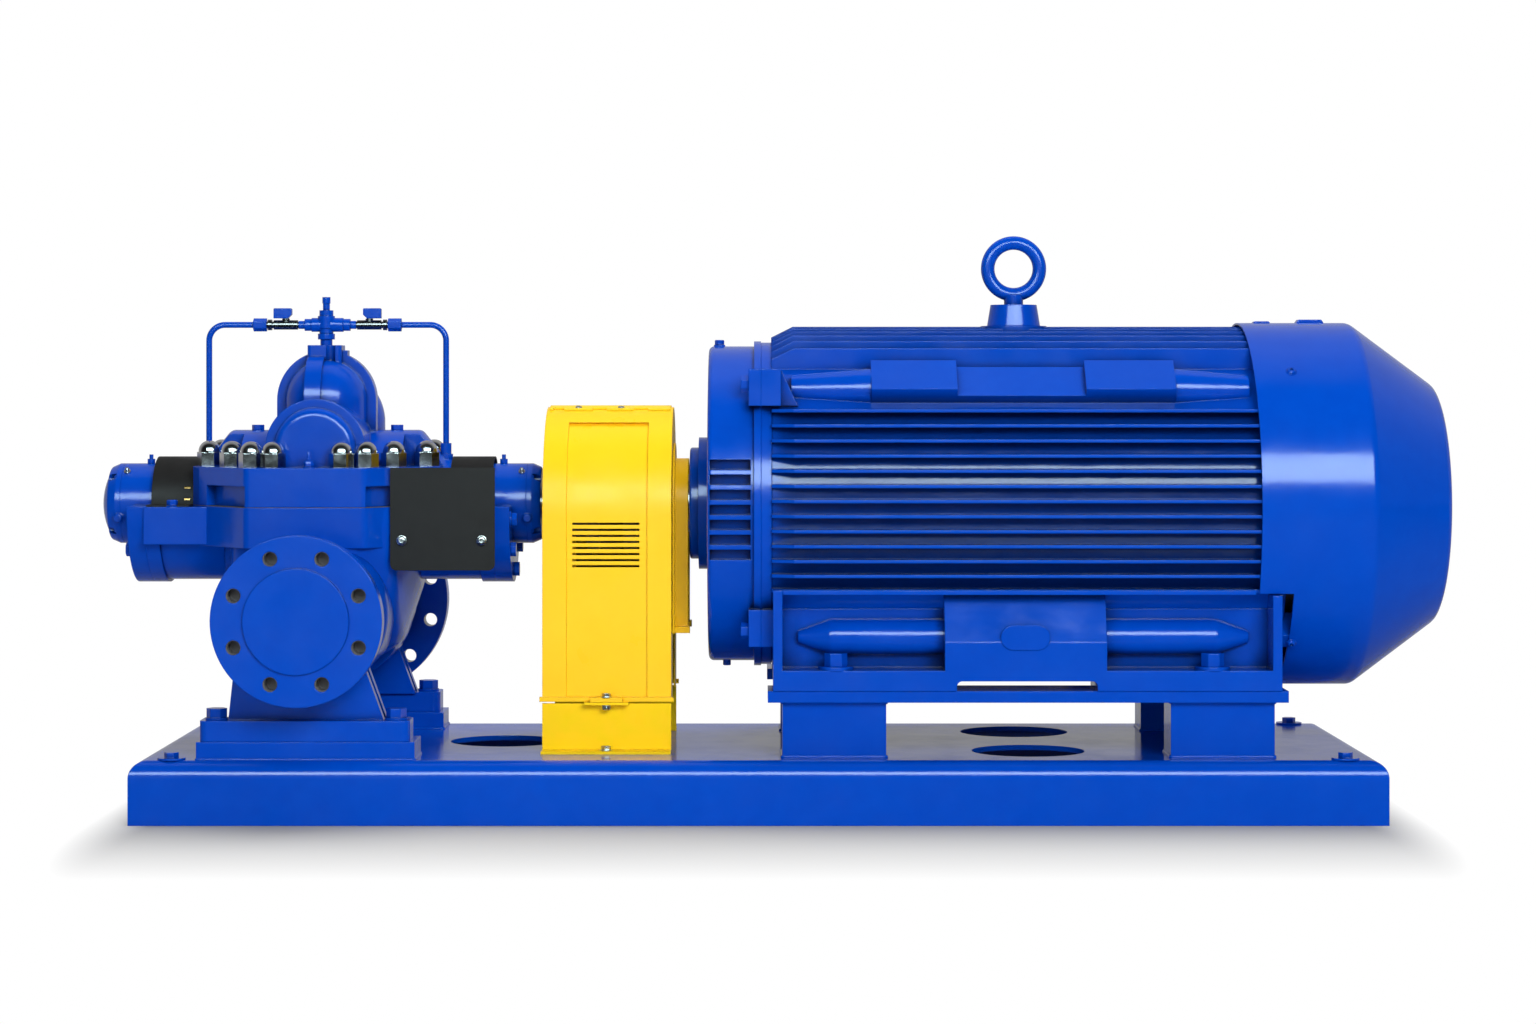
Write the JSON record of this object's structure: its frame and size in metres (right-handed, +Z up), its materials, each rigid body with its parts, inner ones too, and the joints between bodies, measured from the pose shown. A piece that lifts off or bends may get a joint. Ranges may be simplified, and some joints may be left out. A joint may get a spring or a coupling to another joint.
{
  "type": "horizontal split case pump",
  "caption": "Double-suction horizontal split case pump, coupled to a finned electric motor under a yellow guard, on one folded steel base plate.",
  "frame": {"origin": "middle of the base plate's underside, on the floor", "axes": "+X along the shaft from pump to motor, +Y from the discharge side to the suction side, +Z up"},
  "size_m": [2.105, 0.7863, 0.8944],
  "materials": {
    "blue_enamel": "gloss",
    "yellow_enamel": "semi-gloss",
    "black_sheet": "satin",
    "chrome": "polished",
    "zinc": "zinc plated",
    "machined_steel": "machined",
    "cast_iron": "as cast",
    "bronze": "machined",
    "packing": "matt",
    "rubber": "matt",
    "winding": "varnished",
    "laminations": "laminated",
    "fan_plastic": "matt",
    "blue_cover": "satin"
  },
  "bodies": {
    "fixed_set": {"base_cross_members": "blue_enamel", "base_frame": "blue_enamel", "bearing_arms": "blue_enamel", "bearing_cover_inboard": "blue_enamel", "bearing_cover_outboard": "blue_enamel", "bearing_housing_inboard": "blue_enamel", "bearing_housing_outboard": "blue_enamel", "bearing_outer_rings": "machined_steel", "casing_cap_nuts": "chrome", "casing_feet": "blue_enamel", "casing_gasket": "packing", "casing_nozzles": "blue_enamel", "casing_studs": "machined_steel", "casing_wear_rings": "bronze", "flush_cross": "blue_enamel", "flush_piping": "blue_enamel", "flush_valves": "chrome", "guard_brackets": "yellow_enamel", "guard_collar": "yellow_enamel", "guard_front_half": "yellow_enamel", "guard_rear_half": "yellow_enamel", "hold_down_bolts": "blue_enamel", "lower_casing": "blue_enamel", "machine_bolts": "blue_enamel", "motor_bearing_cap": "blue_enamel", "motor_drive_end_shield": "blue_enamel", "motor_eyebolt": "blue_enamel", "motor_fan_cover": "blue_enamel", "motor_fan_end_shield": "blue_enamel", "motor_feet": "blue_enamel", "motor_frame": "blue_enamel", "motor_pedestals": "blue_enamel", "motor_stator": "laminations", "motor_terminal_box": "blue_enamel", "packing_glands": "bronze", "packing_guard_inboard": "black_sheet", "packing_guard_outboard": "black_sheet", "packing_guard_skirt": "black_sheet", "packing_rings": "packing", "pump_pads": "blue_enamel", "pump_plugs": "blue_enamel", "upper_casing": "blue_enamel"},
    "pump_rotor": {"pump_shaft": "machined_steel", "impeller": "bronze", "shaft_sleeves": "bronze", "shaft_slingers": "rubber", "pump_bearing_inner_rings": "machined_steel", "pump_coupling_hub": "cast_iron"},
    "motor_rotor": {"motor_shaft": "machined_steel", "motor_rotor_core": "laminations", "motor_fan": "fan_plastic", "motor_bearing_inner_rings": "machined_steel", "motor_coupling_hub": "cast_iron", "coupling_element": "rubber"},
    "pump_cages": {"pump_ball_cages": "machined_steel"},
    "motor_cages": {"motor_ball_cages": "machined_steel"},
    "inboard_valve_handle": {"flush_handle_inboard": "blue_enamel"},
    "outboard_valve_handle": {"flush_handle_outboard": "blue_enamel"},
    "discharge_cover": {"discharge_flange_cover": "blue_cover"},
    "suction_cover": {"suction_flange_cover": "blue_cover"}
  },
  "joints": [
    {"name": "motor_spin", "type": "hinge", "parent": "fixed_set", "child": "motor_rotor", "pos_m": [0, 0, 0.472], "axis": [1, 0, 0], "continuous": true},
    {"name": "pump_spin", "type": "hinge", "parent": "fixed_set", "child": "pump_rotor", "pos_m": [0, 0, 0.472], "axis": [1, 0, 0], "continuous": true},
    {"name": "motor_cage_spin", "type": "hinge", "parent": "fixed_set", "child": "motor_cages", "pos_m": [0, 0, 0.472], "axis": [1, 0, 0], "continuous": true},
    {"name": "pump_cage_spin", "type": "hinge", "parent": "fixed_set", "child": "pump_cages", "pos_m": [0, 0, 0.472], "axis": [1, 0, 0], "continuous": true},
    {"name": "inboard_valve_turn", "type": "hinge", "parent": "fixed_set", "child": "inboard_valve_handle", "pos_m": [-0.616, 0, 0.764], "axis": [0, 0, 1], "range_deg": [0, 90]},
    {"name": "outboard_valve_turn", "type": "hinge", "parent": "fixed_set", "child": "outboard_valve_handle", "pos_m": [-0.748, 0, 0.764], "axis": [0, 0, 1], "range_deg": [-90, 0]},
    {"name": "discharge_cover_slide", "type": "slide", "parent": "fixed_set", "child": "discharge_cover", "axis": [0, -1, 0], "range_m": [0, 0.15]},
    {"name": "suction_cover_slide", "type": "slide", "parent": "fixed_set", "child": "suction_cover", "axis": [0, 1, 0], "range_m": [0, 0.15]}
  ],
  "couplings": [
    {"joint": "pump_spin", "follows": "motor_spin", "ratio": 1},
    {"joint": "motor_cage_spin", "follows": "motor_spin", "ratio": 0.4},
    {"joint": "pump_cage_spin", "follows": "motor_spin", "ratio": 0.4}
  ]
}
